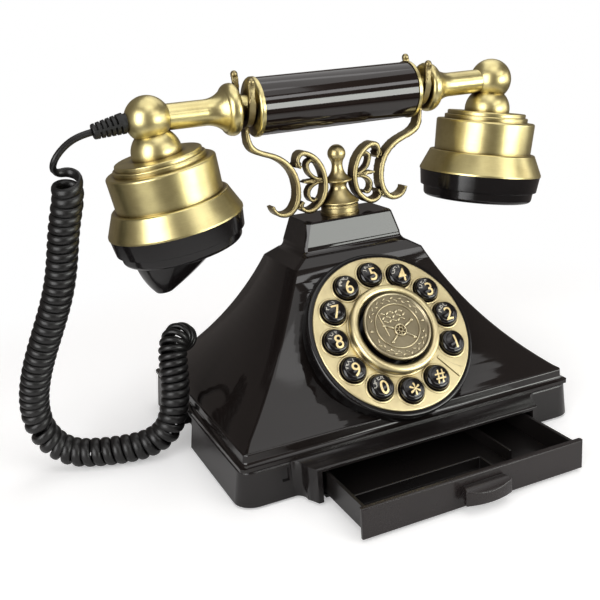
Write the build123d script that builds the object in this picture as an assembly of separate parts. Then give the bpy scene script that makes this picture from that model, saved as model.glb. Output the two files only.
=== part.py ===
from build123d import *
import math
import os

# Antique-style desk telephone with a push-button dial ring, a cradle and a stationery drawer.
# Millimetres, +Z up, +X to the user's right, the dial faces -Y. The parts are modelled about the middle
# of the base, on the table plane, and moved at export so that the origin is the bottom centre of the box.

# ------------------------------------------------------------------ driving dimensions
RUN_GAP = 0.3              # clearance between curved faces on different moving bodies

# base: half width, half depth at each level, and the level's height
FOOT_DROP = 1.2
PLINTH_FOOT = (89.1, 68.8, FOOT_DROP)
PLINTH_TOP = (86.8, 67.7, 18.0)
LIP = (84.0, 65.3, 25.2)
FLANK_MID = (55.4, 38.8, 53.0)
SHOULDER = (34.9, 20.1, 86.9)
NECK = (26.4, 13.8, 94.9)
PLATFORM = (23.0, 11.7, 106.2)
WALL = 2.4
HIP_CHAMFER = 1.1          # how far the flat on each hip of the tower cuts in, along the diagonal
BAY_HALF, BAY_FRONT, BAY_TOP = 57.5, 80.0, 17.4
BAY_ROOT_HALF = 63.0
PLINTH_EDGE = 1.5             # rounding of the plinth's top edge
SLOT_X, SLOT_Z, SLOT_WIDE, SLOT_HIGH, SLOT_DEEP = -67.2, 12.3, 3.4, 6.0, 1.7
RECESS_FRONT, RECESS_BACK, RECESS_DEEP = 1.0, 44.0, 8.0
DECK_Z, DECK_T = 16.1, 1.6
BOTTOM_T = 1.6

# dial
DIAL_CENTRE = (0, -47.5, 57.6)
DIAL_ELEVATION = 39.5      # degrees of the dial's normal above the horizontal
DIAL_R = 38.7
DIAL_T = 1.6
RING_R, RING_DEEP = 41.2, 8.5
CUP_R, CUP_DEEP = 35.2, 13.5
KEY_WELL_R, KEY_WELL_DEEP = 36.1, 4.9
KEY_RING_R, KEY_R, KEY_HOLE_R = 29.45, 6.0, 6.2
KEY_FIRST, KEY_STEP = -24.8, 29.04
KEY_TOP, KEY_STEM_LOW = 4.1, -4.6
MEDAL_R, MEDAL_TOP = 16.6, 6.8
RIM_IN, RIM_OUT, RIM_TOP = 17.8, 21.3, 5.2

# drawer, shown open by DRAWER_OPEN
DRAWER_OPEN = 34.4
PANEL_HALF, PANEL_T, PANEL_LOW, PANEL_TOP = 54.8, 2.4, 1.5, 15.3
TRAY_HALF, TRAY_LONG, TRAY_LOW, TRAY_TOP, TRAY_WALL = 52.6, 92.0, 3.2, 14.0, 1.6
PULL_X, PULL_HALF, PULL_OUT = 2.0, 11.5, 6.2

# handset
AXIS_Z = 161.7
GRIP_HALF, GRIP_R = 40.0, 13.2
CAP_R, CAP_T = 13.7, 3.2
NECK_R, FORK_X = 5.8, 45.7
COLLAR_X, COLLAR_R, TUBE_R = 49.4, 11.8, 5.85
BALL_X, BALL_R = 90.8, 10.4
CUP_TILT = 9.0
SHELL_TOP_R, SHELL_LOW_R, SHELL_RIM_R = 25.2, 24.8, 31.5
SHELL_START, CONE_START, CONE_END = 20.6, 36.6, 47.3
CAP_END = 61.0

# cradle
KNOB_Z, KNOB_R = 135.0, 4.4
KNOB_DISC_R, KNOB_DISC_UP = 6.9, 2.6
STRIP_W, STRIP_T = 7.0, 2.6
CRADLE_TRAVEL = 4.0
ROD_R = 3.0

# cord
WIRE_D, COIL_D = 3.0, 14.2
RELIEF_LONG = 14.5


# ------------------------------------------------------------------ helpers
def outline(start, *steps):
    """Closed face in the XY plane. A step is an end point, or a (middle, end) pair for an arc."""
    edges = []
    here = start
    for step in steps:
        if isinstance(step[0], tuple):
            edges.append(ThreePointArc(here, step[0], step[1]))
            here = step[1]
        else:
            edges.append(Line(here, step))
            here = step
    edges.append(Line(here, start))
    return Face(Wire(edges))


def lathe(start, *steps):
    """Solid of revolution about Z from an outline in (radius, height)."""
    return revolve(Plane.XZ * outline(start, *steps), Axis.Z)


def box(x0, x1, y0, y1, z0, z1):
    """Box between two corners."""
    return Pos((x0 + x1) / 2, (y0 + y1) / 2, (z0 + z1) / 2) * Box(x1 - x0, y1 - y0, z1 - z0)


def polar(radius, angle):
    """Point at a radius and an angle in degrees."""
    return (radius * math.cos(math.radians(angle)), radius * math.sin(math.radians(angle)))


def ribbon(points, thick, width, tip=0.6):
    """Strip of constant width along Z that follows a plane curve, thinner at its two ends."""
    line = Spline(*points)
    count = 4 * len(points)
    left = []
    right = []
    for i in range(count + 1):
        u = i / count
        fade = min(1.0, tip + (1 - tip) * min(u, 1 - u) * 6)
        at = line.position_at(u)
        ahead = line.tangent_at(u)
        side = Vector(-ahead.Y, ahead.X, 0) * (thick * fade / 2)
        left.append(at + side)
        right.append(at - side)
    edges = [Spline(*left), Line(left[-1], right[-1]), Spline(*reversed(right)), Line(right[0], left[0])]
    return extrude(Face(Wire(edges)), amount=width / 2, both=True)


def upright(shape):
    """Turn a solid drawn in the XY plane so that it stands in the XZ plane."""
    return Rot(90, 0, 0) * shape


DIAL = Plane(
    origin=DIAL_CENTRE,
    x_dir=(1, 0, 0),
    z_dir=(0, -math.cos(math.radians(DIAL_ELEVATION)), math.sin(math.radians(DIAL_ELEVATION))),
)


def on_dial(shape):
    """Place a solid drawn with its face on Z = 0 on the dial."""
    return DIAL * shape


def cup_place(side):
    """Frame of an ear or mouth cup: origin at the ball's centre, Z down along the cup's axis."""
    return Pos(side * BALL_X, 0, AXIS_Z) * Rot(0, side * CUP_TILT, 0) * Rot(180, 0, 0)


def group(solids):
    """Separate solids that share one node."""
    return Compound(list(solids))


def both_ends(make):
    """The same turned piece at the two ends of the handset, as two solids."""
    return group([make(-1), make(1)])


def dome_arc(radius, rise, top):
    """Arc step of a spherical dome that ends on the axis."""
    sphere = (radius ** 2 + rise ** 2) / (2 * rise)
    drop = sphere - math.sqrt(sphere ** 2 - radius ** 2 / 4)
    return ((radius / 2, top - drop), (0, top))


# ------------------------------------------------------------------ base
LEVELS = (PLINTH_TOP, LIP, FLANK_MID, SHOULDER, NECK, PLATFORM)


def tower_side(halves, grow=1.0):
    """Half outline of the housing from its half width at each level; grow scales the small mouldings."""
    ledge, lip, mid, shoulder, neck, top = halves
    z0, z1, z2, z3, z4, z5 = (level[2] for level in LEVELS)
    return outline(
        (0, z0), (ledge, z0), (ledge, z0 + 1.6),
        ((ledge - 1.55 * grow, z0 + 2.2), (ledge - 2.1 * grow, z0 + 3.8)),
        (lip + 0.4 * grow, z1 - 0.9), ((lip + 0.15 * grow, z1 - 0.2), (lip - 0.5 * grow, z1)),
        ((mid, z2), (shoulder, z3)),
        (neck + 2.6 * grow, z3 + 3.6), ((neck + 0.7 * grow, z3 + 5.2), (neck, z4)),
        (top + 0.2 * grow, z5 - 0.9), (top - 0.5 * grow, z5), (0, z5),
    )


def tower_half(k, inset):
    """Half outline of the housing, for widths (k=0) or depths (k=1), inset by a wall."""
    if not inset:
        return tower_side([level[k] for level in LEVELS])
    ledge, lip, mid, shoulder, neck, top = [level[k] for level in LEVELS]
    z0, z1, z2, z3, z4, z5 = (level[2] for level in LEVELS)
    return outline(
        (0, z0 - 1), (ledge - inset, z0 - 1), (ledge - inset, z0 + 1.4), (lip - inset, z1 - 1.8),
        ((mid - 0.78 * inset, z2 - 0.62 * inset), (shoulder - 0.8 * inset, z3 - inset)),
        (neck - 0.9 * inset, z4 - 0.8 * inset), (top - 0.9 * inset, z5 - 1.2 * inset), (0, z5 - 1.2 * inset),
    )


def tower(inset=0.0):
    """Solid of the concave four-sided tower: a rectangle at every height."""
    solids = []
    for k, plane, wall in ((0, Plane.XZ, Plane.YZ), (1, Plane.YZ, Plane.XZ)):
        half = extrude(plane * tower_half(k, inset), amount=120, both=True)
        solids.append(half + mirror(half, wall))
    solid = solids[0] & solids[1]
    if inset:
        return solid
    diagonal = [(level[0] + level[1]) / math.sqrt(2) - HIP_CHAMFER for level in LEVELS]
    half = extrude(Plane.XZ * tower_side(diagonal, math.sqrt(2)), amount=160, both=True)
    hips = half + mirror(half, Plane.YZ)
    return solid & (Rot(0, 0, 45) * hips) & (Rot(0, 0, -45) * hips)


def dial_bore(radius, near, far):
    """Cylinder about the dial's axis between two depths."""
    return on_dial(Pos(0, 0, (near + far) / 2) * Cylinder(radius, near - far))


def upper_housing():
    shell = tower() - tower(WALL)
    shell -= dial_bore(KEY_WELL_R + 0.2, 4, -KEY_WELL_DEEP - 0.2)
    shell -= dial_bore(CUP_R + 0.1, 0, -40)
    shell -= Pos(0, 0, PLATFORM[2]) * Cylinder(7.2, 12)
    return shell


def bay_plan(half, root, front, back):
    """Plan of the front bay with an S-curved return on each side."""
    mid_y = (front + back) / 2
    mid_x = (half + root) / 2
    return outline(
        (-root - 1.5, back), ((-mid_x - 1.6, back - 1.2), (-mid_x, mid_y)),
        ((-half - 1.0, front + 2.2), (-half, front)), (half, front),
        ((half + 1.0, front + 2.2), (mid_x, mid_y)),
        ((mid_x + 1.6, back - 1.2), (root + 1.5, back)), (root + 1.5, -40), (-root - 1.5, -40),
    )


def plinth_block(shrink):
    """Tapered block with rounded corners that the plinth is cut from."""
    low = Pos(0, 0, PLINTH_FOOT[2]) * RectangleRounded(
        2 * (PLINTH_FOOT[0] - shrink), 2 * (PLINTH_FOOT[1] - shrink), 9.0)
    top = Pos(0, 0, PLINTH_TOP[2]) * RectangleRounded(
        2 * (PLINTH_TOP[0] - shrink), 2 * (PLINTH_TOP[1] - shrink), 6.0)
    return loft([low, top])


def plinth():
    block = plinth_block(0)
    solid = fillet(block.edges().group_by(Axis.Z)[-1], PLINTH_EDGE)
    front_side = extrude(Plane.YZ * outline(
        (-40, FOOT_DROP), (-BAY_FRONT, FOOT_DROP), (-BAY_FRONT, BAY_TOP - 0.8),
        ((-BAY_FRONT + 0.25, BAY_TOP - 0.2), (-BAY_FRONT + 0.9, BAY_TOP)),
        ((-BAY_FRONT + 6.5, BAY_TOP - 0.1), (-PLINTH_TOP[1], PLINTH_TOP[2])), (-40, PLINTH_TOP[2])),
        amount=90, both=True)
    plan = extrude(bay_plan(BAY_HALF, BAY_ROOT_HALF, -BAY_FRONT, -PLINTH_FOOT[1] + 0.4), amount=30)
    solid += front_side & plan
    for side in (-1, 1):
        x_in = side * (PLINTH_FOOT[0] - RECESS_DEEP)
        x_out = side * (PLINTH_FOOT[0] + 5)
        solid -= box(min(x_in, x_out), max(x_in, x_out), RECESS_FRONT, RECESS_BACK, 0, PLINTH_TOP[2] - 1.8)
    inner = box(-PLINTH_FOOT[0] + RECESS_DEEP + WALL, PLINTH_FOOT[0] - RECESS_DEEP - WALL,
                -PLINTH_TOP[1] + WALL, PLINTH_TOP[1] - WALL, 0, 30)
    solid -= inner
    solid -= box(-PANEL_HALF - 0.4, PANEL_HALF + 0.4, -BAY_FRONT - 5, -40, 0, PANEL_TOP + 0.4)
    for x, y in SCREW_SPOTS:
        x_wall = math.copysign(PLINTH_FOOT[0] - RECESS_DEEP - 1, x)
        solid += Pos(x, y, (BOTTOM_TOP + DECK_Z) / 2) * Cylinder(3.2, DECK_Z - BOTTOM_TOP)
        solid += box(min(x, x_wall), max(x, x_wall), y - 1.2, y + 1.2, BOTTOM_TOP, DECK_Z)
    for x, y in SCREW_SPOTS:
        solid -= Pos(x, y, 8) * Cylinder(1.3, 30)
    solid -= box(-PLINTH_FOOT[0] + 7, -PLINTH_FOOT[0] + 12, JACK_Y - 5.2, JACK_Y + 5.2, JACK_Z - 4.7, JACK_Z + 4.7)
    solid -= box(LINE_X - 6.7, LINE_X + 6.7, PLINTH_FOOT[1] - 5, PLINTH_FOOT[1] + 2, 0, LINE_Z + 5.2)
    solid -= Pos(SLOT_X, -PLINTH_FOOT[1], SLOT_Z) * Box(SLOT_WIDE, 2 * SLOT_DEEP, SLOT_HIGH)
    solid -= box(SWITCH_X - 5.2, SWITCH_X + 5.2, PLINTH_FOOT[1] - 5, PLINTH_FOOT[1] + 2, LINE_Z - 2.2, LINE_Z + 2.2)
    return solid


BOTTOM_TOP = FOOT_DROP + BOTTOM_T
SCREW_SPOTS = [(sx * 72.0, sy * 59.5) for sx in (-1, 1) for sy in (-1, 1)]
FOOT_SPOTS = [(sx * 68.0, sy * 48.0) for sx in (-1, 1) for sy in (-1, 1)]
JACK_Y, JACK_Z = 22.0, 9.2
LINE_X, LINE_Z, SWITCH_X = -38.0, 9.6, 30.0


def bottom_plate():
    inset = RECESS_DEEP + WALL + 0.2
    plate = box(-PLINTH_FOOT[0] + inset, PLINTH_FOOT[0] - inset,
                -PLINTH_TOP[1] + WALL + 0.2, PLINTH_TOP[1] - WALL - 0.2, FOOT_DROP, BOTTOM_TOP)
    plate += box(-PANEL_HALF + 2, PANEL_HALF - 2, -BAY_FRONT + PANEL_T + 0.6, -40, FOOT_DROP, BOTTOM_TOP)
    for side in (-1, 1):
        x = side * (TRAY_HALF + 1.6)
        plate += box(x - 0.9, x + 0.9, -62, 20, FOOT_DROP, 9)
    for x, y in SCREW_SPOTS:
        plate -= Pos(x, y, 0) * Cylinder(1.6, 20)
    for x, y in FOOT_SPOTS:
        plate -= Pos(x, y, FOOT_DROP) * Cylinder(5.6, 1.2)
    for i in range(9):
        plate -= Pos(-24 + 6 * i, 52, 2) * Box(2.4, 14, 8)
    return plate


def chassis_deck():
    inset = RECESS_DEEP + WALL + 0.3
    deck = box(-PLINTH_FOOT[0] + inset, PLINTH_FOOT[0] - inset,
               -PLINTH_TOP[1] + WALL + 0.3, PLINTH_TOP[1] - WALL - 0.3, DECK_Z, DECK_Z + DECK_T)
    for x, y in SCREW_SPOTS:
        deck -= Pos(x, y, DECK_Z) * Cylinder(1.6, 8)
    deck -= Pos(0, 44, DECK_Z) * Cylinder(9, 8)
    return deck


def rubber_feet():
    foot = lathe((0, 0), (4.8, 0), (5.5, 0.7), (5.5, FOOT_DROP + 0.55), (0, FOOT_DROP + 0.55))
    return group(Pos(x, y, 0) * foot for x, y in FOOT_SPOTS)


def base_screws():
    screw = lathe((0, 0), (1.5, 0), (1.5, 1.2), (1.2, 1.4), (1.2, 11), (0, 12))
    screw -= Box(2.2, 0.5, 0.9)
    return group(Pos(x, y, FOOT_DROP + 0.2) * screw for x, y in SCREW_SPOTS)


# ------------------------------------------------------------------ dial
def dial_housing():
    ring = on_dial(lathe((0, -RING_DEEP), (RING_R, -RING_DEEP), (RING_R, -2.2),
                         ((RING_R - 0.4, -1.25), (RING_R - 1.4, -0.9)), (0, -0.9)))
    ring -= tower()
    shelf = -KEY_WELL_DEEP
    ring += on_dial(lathe((0, -CUP_DEEP), (CUP_R, -CUP_DEEP), (CUP_R, shelf - 1.2), (CUP_R, shelf), (0, shelf)))
    ring -= on_dial(lathe((0, -CUP_DEEP + 1.5), (CUP_R - 1.6, -CUP_DEEP + 1.5), (CUP_R - 1.6, shelf),
                          (KEY_WELL_R, shelf), (KEY_WELL_R, -DIAL_T), (DIAL_R + 0.1, -DIAL_T),
                          (DIAL_R + 0.1, 2), (0, 2)))
    return ring


def key_spots():
    """Centres of the twelve keys on the dial, counter-clockwise from the 1 key."""
    return [polar(KEY_RING_R, KEY_FIRST + KEY_STEP * i) for i in range(12)]


def dial_plate():
    plate = lathe((RIM_IN, -DIAL_T), (DIAL_R, -DIAL_T), (DIAL_R, -0.7), ((DIAL_R - 0.2, -0.2), (DIAL_R - 0.7, 0)),
                  (RIM_OUT + 1.4, 0), ((RIM_OUT + 0.3, 0.35), (RIM_OUT, 1.3)),
                  ((RIM_OUT - 1.5, RIM_TOP), (RIM_IN + 0.3, RIM_TOP - 1.0)), (RIM_IN, RIM_TOP - 1.4))
    for x, y in key_spots():
        plate -= Pos(x, y, 0) * Cylinder(KEY_HOLE_R, 6)
    return on_dial(plate)


def dial_medallion():
    low = MEDAL_TOP - 1.6
    disc = lathe((0, low), (MEDAL_R - 0.5, low), (MEDAL_R, low + 0.5), (MEDAL_R, MEDAL_TOP - 0.5),
                 ((MEDAL_R - 0.15, MEDAL_TOP - 0.15), (MEDAL_R - 0.5, MEDAL_TOP)), (MEDAL_R - 1.3, MEDAL_TOP),
                 (MEDAL_R - 1.7, MEDAL_TOP - 0.4), (0, MEDAL_TOP - 0.4))
    return on_dial(disc)


def medallion_seat():
    return on_dial(lathe((0, -3.4), (RIM_IN - 0.1, -3.4), (RIM_IN - 0.1, 0.2), (MEDAL_R - 1.2, 0.2),
                         (MEDAL_R - 1.2, MEDAL_TOP - 1.6), (0, MEDAL_TOP - 1.6)))


def finger_stop():
    """Low tongue between the first and last keys, straight on one side and hollow on the other."""
    inner, outer = 24.1, 37.6
    tongue = outline(polar(inner, -46), polar(outer, -49.9), (polar(outer, -45.6), polar(outer, -41.4)),
                     (polar(31.5, -43.8), polar(inner + 0.5, -42.2)))
    return on_dial(extrude(tongue, amount=0.6))


def key(index):
    x, y = key_spots()[index]
    flange, shoulder, rise = KEY_R + 0.5, KEY_R - 2.2, 0.75
    cap = lathe((0, KEY_STEM_LOW), (3.6, KEY_STEM_LOW), (3.6, -3.2), (flange, -3.2), (flange, -DIAL_T - 0.1),
                (KEY_R, -DIAL_T - 0.1), (KEY_R, 1.5), ((KEY_R - 0.6, 2.7), (shoulder, KEY_TOP - rise)),
                dome_arc(shoulder, rise, KEY_TOP))
    return on_dial(Pos(x, y, 0) * cap)


def keypad_mat():
    """Rubber mat with one low dome behind each key; the domes stand clear of a pressed key."""
    mat = Pos(0, 0, -8.4) * Cylinder(CUP_R - 2.2, 1.2)
    mat -= Pos(0, 0, -8.4) * Cylinder(6, 3)
    for x, y in key_spots():
        mat += Pos(x, y, -7.8) * lathe((0, 0), (3.8, 0), (2.4, 1.6), (0, 1.6))
    return on_dial(mat)


def keypad_board():
    board = Pos(0, 0, -9.9) * Cylinder(CUP_R - 2.2, 1.6)
    return on_dial(board)


# ------------------------------------------------------------------ electronics and jacks
def main_board():
    deck_top = DECK_Z + DECK_T
    board = box(-38, 38, 6, 52, deck_top + 4, deck_top + 5.6)
    for sx in (-1, 1):
        for y in (11, 47):
            board += Pos(sx * 32, y, deck_top + 2) * Cylinder(2.4, 4)
    board += box(-10, 10, 18, 30, deck_top + 5.6, deck_top + 8.6)
    for x in (-28, -20, 22):
        board += Pos(x, 38, deck_top + 10) * Cylinder(3.2, 8.8)
    board += box(14, 32, 14, 24, deck_top + 5.6, deck_top + 12)
    return board


def ringer_buzzer():
    deck_top = DECK_Z + DECK_T
    return Pos(0, -18, deck_top) * lathe((0, 0), (14, 0), (14, 7), (11.5, 7), (11.5, 5), (0, 5))


def handset_jack():
    x = -PLINTH_FOOT[0] + RECESS_DEEP
    body = box(x - 0.6, x + 13, JACK_Y - 5, JACK_Y + 5, JACK_Z - 4.5, JACK_Z + 4.5)
    return body - box(x - 2, x + 9.5, JACK_Y - 3.95, JACK_Y + 3.95, JACK_Z - 3.4, JACK_Z + 3.4)


def line_jack():
    y = PLINTH_FOOT[1] - 0.9
    body = box(LINE_X - 6.5, LINE_X + 6.5, y - 13.5, y, LINE_Z - 5, LINE_Z + 5)
    body += box(LINE_X - 6.5, LINE_X + 6.5, y - 2.2, y, FOOT_DROP + 0.3, LINE_Z)
    body -= box(LINE_X - 5, LINE_X + 5, y - 10.5, y + 2, LINE_Z - 3.6, LINE_Z + 2.6)
    return body - box(LINE_X - 2, LINE_X + 2, y - 10.5, y + 2, LINE_Z + 1, LINE_Z + 3.8)


def ringer_switch_body():
    y = PLINTH_FOOT[1] - 1.1
    body = box(SWITCH_X - 5, SWITCH_X + 5, y - 6, y, LINE_Z - 2, LINE_Z + 2)
    return body - box(SWITCH_X - 4, SWITCH_X + 4, y - 2.4, y + 1, LINE_Z - 1.3, LINE_Z + 1.3)


def ringer_switch_knob():
    y = PLINTH_FOOT[1] - 1.1
    knob = box(SWITCH_X - 3.8, SWITCH_X - 0.2, y - 2.2, y - 0.6, LINE_Z - 1.2, LINE_Z + 1.2)
    return knob + box(SWITCH_X - 2.9, SWITCH_X - 1.1, y - 0.8, y + 1.4, LINE_Z - 1.0, LINE_Z + 1.0)


# ------------------------------------------------------------------ drawer
PANEL_FRONT = -BAY_FRONT - DRAWER_OPEN


def drawer_tray():
    front = PANEL_FRONT + PANEL_T
    back = front + TRAY_LONG
    half, wall = TRAY_HALF, TRAY_WALL
    tray = box(-half, half, front, back, TRAY_LOW, TRAY_TOP)
    tray -= box(-half + wall, half - wall, front - 1, back - wall, TRAY_LOW + 1.4, TRAY_TOP + 1)
    tray += box(-half + wall, 14, front + 17, front + 18.2, TRAY_LOW + 1.4, TRAY_TOP - 4.2)
    tray += box(14, 15.2, front, front + 18.2, TRAY_LOW + 1.4, TRAY_TOP - 4.2)
    return tray + box(28, 29.2, front + 14, back - wall, TRAY_LOW + 1.4, TRAY_TOP - 3.6)


def drawer_front():
    panel = box(-PANEL_HALF, PANEL_HALF, PANEL_FRONT, PANEL_FRONT + PANEL_T, PANEL_LOW, PANEL_TOP)
    return fillet(panel.edges().filter_by(Axis.Z) + panel.edges().group_by(Axis.Y)[0].filter_by(Axis.X), 0.7)


def drawer_pull():
    """Bar with a bowed front and a sloping top, standing off the drawer's face on a narrower root."""
    y = PANEL_FRONT
    bow = outline((PULL_X - PULL_HALF, y - PULL_OUT + 1.6),
                  ((PULL_X, y - PULL_OUT - 0.6), (PULL_X + PULL_HALF, y - PULL_OUT + 1.6)),
                  (PULL_X + PULL_HALF - 1.2, y), (PULL_X - PULL_HALF + 1.2, y))
    side = outline((y, 8.0), (y - 2.6, 4.4), (y - PULL_OUT - 1, 4.4), (y - PULL_OUT - 1, 9.2),
                   ((y - PULL_OUT + 1.6, 11.2), (y, 11.6)))
    pull = Pos(0, 0, 2) * extrude(bow, amount=12) & extrude(Plane.YZ * side, amount=60, both=True)
    return fillet(pull.edges().filter_by(lambda e: e.center().Y < y - 2), 0.7)


# ------------------------------------------------------------------ cradle
def cradle_collar():
    z = PLATFORM[2]
    return lathe((5.4, z), (9.6, z), (9.6, z + 0.9), (9.2, z + 1.2), (9.2, z + 3.4),
                 ((9.45, z + 3.8), (9.2, z + 4.2)), (9.0, z + 4.7), (5.4, z + 4.7))


def cradle_column():
    low = PLATFORM[2] + 4.7 + RUN_GAP
    return lathe((ROD_R, low), (9.3, low), ((9.75, low + 0.6), (9.3, low + 1.3)),
                 ((6.7, low + 3.6), (4.5, low + 6.6)), ((4.1, low + 7.6), (4.1, low + 8.6)), (ROD_R, low + 8.6))


def cradle_finial():
    low = PLATFORM[2] + 4.7 + RUN_GAP + 8.6
    edge = low + KNOB_DISC_UP
    knob = lathe((0, low), (4.1, low), ((4.5, low + 1.0), (KNOB_DISC_R - 0.4, edge - 0.5)),
                 ((KNOB_DISC_R, edge), (KNOB_DISC_R - 0.3, edge + 0.5)), ((4.0, edge + 2.9), (2.7, edge + 6.6)),
                 ((2.75, edge + 8.2), (3.7, KNOB_Z - 2.1)), ((KNOB_R, KNOB_Z + 0.3), (3.15, KNOB_Z + 3.3)),
                 dome_arc(3.15, 1.4, KNOB_Z + 4.7))
    return knob


def fork():
    """U of strip round the handset's neck, drawn in the YZ plane, with a bead on each prong."""
    centre = NECK_R + RUN_GAP + STRIP_T / 2
    near, far = (-12.3, AXIS_Z + 11.4), (8.6, AXIS_Z + 14.4)
    route = [near, (-11.6, AXIS_Z + 5.6), (-9.8, AXIS_Z - 1.0), (-6.2, AXIS_Z - 5.6), (0, AXIS_Z - centre),
             (5.2, AXIS_Z - 5.6), (7.4, AXIS_Z - 0.6), (8.0, AXIS_Z + 6.0), far]
    turned = Plane.YZ * ribbon(route, STRIP_T, 3.0, tip=0.7)
    for y, z in (near, far):
        turned += Pos(0, y, z + 0.5) * Sphere(1.7)
    return turned


def cradle_arm(side):
    """Cast arm: fork, swept strip with a hooked foot, and a C-scroll with a three-leaf filling."""
    strip = [(46.2, AXIS_Z - 8.0), (46.0, 149.5), (44.4, 143.6), (39.6, 140.4), (33.4, 138.0), (27.6, 133.9),
             (23.9, 128.0), (22.7, 121.0), (23.9, 114.6), (27.8, 110.3), (32.6, 110.2), (36.4, 114.6)]
    scroll = [(20.5, 131.4), (22.0, 134.6), (20.3, 137.6), (15.2, 136.6), (10.9, 132.4), (8.4, 126.2),
              (8.1, 120.6), (9.7, 115.2), (13.3, 111.4), (17.4, 109.8), (21.4, 112.0), (20.4, 114.8)]
    spike = [(9.0, 123.6), (12.0, 123.8), (19.4, 124.0)]
    leaf_top = [(9.0, 124.4), (13.6, 125.7), (16.6, 129.6), (16.3, 133.2), (13.9, 134.0), (13.0, 132.4)]
    leaf_low = [(9.0, 122.8), (13.9, 122.3), (16.8, 119.6), (16.9, 116.4), (14.9, 114.4), (13.2, 115.4)]
    flat = ribbon(strip, STRIP_T, STRIP_W)
    flat += ribbon(scroll, STRIP_T - 0.2, STRIP_W)
    flat += ribbon(spike, 1.8, STRIP_W - 2.4, tip=0.4)
    for leaf in (leaf_top, leaf_low):
        flat += ribbon(leaf, 1.7, STRIP_W - 2.0)
    flat += Pos(21.9, 132.8) * Box(2.6, 2.4, STRIP_W - 0.6)
    flat += Pos(22.6, 112.9) * Box(2.4, 2.4, STRIP_W - 0.6)
    arm = upright(flat)
    arm += Pos(FORK_X, 0, 0) * fork()
    arm -= Cylinder(7.4, 400) & box(-30, 30, -30, 30, 100, 122.0)
    arm -= Pos(0, 0, 124) * Cylinder(7.4, 6)
    return arm if side > 0 else mirror(arm, Plane.YZ)


def hook_plunger():
    top = PLATFORM[2] + 4.7 + RUN_GAP + 8.6
    rod = Pos(0, 0, (top + 84) / 2) * Cylinder(ROD_R, top - 84)
    return rod + Pos(0, 0, 84) * Cylinder(5.0, 2.0)


def hook_spring():
    """Sleeve with the spring's outer size, between the guide's floor and the plunger's foot."""
    low, high = 72.4, 83.0
    return Pos(0, 0, (low + high) / 2) * (Cylinder(4.6, high - low) - Cylinder(3.4, high - low + 2))


def hook_guide():
    """Tube under the platform that guides the plunger and holds its spring and contact."""
    low, high = 70.0, PLATFORM[2] + 3.0
    outer = lathe((0, low), (6.9, low), (6.9, high), (0, high))
    bore = lathe((0, 72.2), (5.3, 72.2), (5.3, 95.0), (ROD_R + 0.05, 95.0), (ROD_R + 0.05, high + 1), (0, high + 1))
    return outer - bore - (lathe((5.3, PLATFORM[2] - 0.1), (8, PLATFORM[2] - 0.1), (8, high + 1), (5.3, high + 1)))


# ------------------------------------------------------------------ handset
def along_x(shape, side):
    """Turned piece drawn along +Z placed on the handset's axis, pointing outwards."""
    return Pos(0, 0, AXIS_Z) * Rot(0, side * 90, 0) * shape


def grip_sleeve():
    return along_x(Pos(0, 0, -GRIP_HALF) * lathe(
        (GRIP_R - 2.2, 0), (GRIP_R, 0), (GRIP_R, 2 * GRIP_HALF), (GRIP_R - 2.2, 2 * GRIP_HALF)), 1)


def grip_cap(side):
    x = GRIP_HALF
    cap = lathe((NECK_R, x - 5), (GRIP_R - 2.25, x - 5), (GRIP_R - 2.25, x), (CAP_R, x), (CAP_R, x + 1.3),
                ((CAP_R - 0.5, x + 2.1), (CAP_R - 1.8, x + 2.5)), (NECK_R + 3, x + CAP_T), (NECK_R, x + CAP_T))
    return along_x(cap, side)


def handset_arm(side):
    x = COLLAR_X
    arm = lathe((2.6, GRIP_HALF - 5), (NECK_R, GRIP_HALF - 5), (NECK_R, x), (COLLAR_R - 2.4, x),
                ((COLLAR_R - 0.5, x + 0.9), (COLLAR_R, x + 2.9)), ((COLLAR_R - 0.6, x + 4.9), (COLLAR_R - 2.2, x + 6.3)),
                ((TUBE_R + 1.35, x + 9.6), (TUBE_R, x + 15.0)), (TUBE_R, BALL_X - 8.7), (2.6, BALL_X - 8.7))
    return along_x(arm, side)


def ball_elbow(side):
    ball = Pos(side * BALL_X, 0, AXIS_Z) * Sphere(BALL_R)
    ball -= along_x(Pos(0, 0, BALL_X - 12.7) * Cylinder(TUBE_R + 0.05, 8, align=(Align.CENTER, Align.CENTER, Align.MIN)), side)
    ball -= cup_place(side) * Pos(0, 0, 12) * Cylinder(6.0, 8)
    return ball


def cup_neck(side):
    """Domed neck that seats the ball, with a plug reaching into it."""
    neck = lathe((3.0, 6.6), (7.7, 6.6), ((10.3, 10.0), (11.4, 16.2)), (3.0, 16.2))
    neck -= Sphere(BALL_R + 0.02)
    neck += lathe((3.0, 8.3), (5.9, 8.3), (5.9, 11), (3.0, 11))
    return cup_place(side) * neck


def cup_shell(side):
    a, b, c = SHELL_START, CONE_START, CONE_END
    shell = lathe((3.0, 16.2), (19.4, 16.2), ((19.9, 16.5), (20.0, 17.2)), (20.0, 18.3), (20.8, 18.3),
                  ((21.25, 18.6), (21.3, 19.2)), (21.3, a), (SHELL_TOP_R - 1.2, a),
                  ((SHELL_TOP_R - 0.3, a + 0.4), (SHELL_TOP_R, a + 1.4)), (SHELL_LOW_R, b), (SHELL_LOW_R + 1.6, b),
                  ((SHELL_LOW_R + 2.2, b + 0.25), (SHELL_LOW_R + 2.6, b + 0.9)), (SHELL_RIM_R, c - 0.8), (SHELL_RIM_R, c),
                  (SHELL_RIM_R - 2.6, c), (SHELL_LOW_R - 1.8, b + 2.0), (SHELL_TOP_R - 2.0, a + 1.8), (3.0, a + 1.8))
    return cup_place(side) * shell


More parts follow.
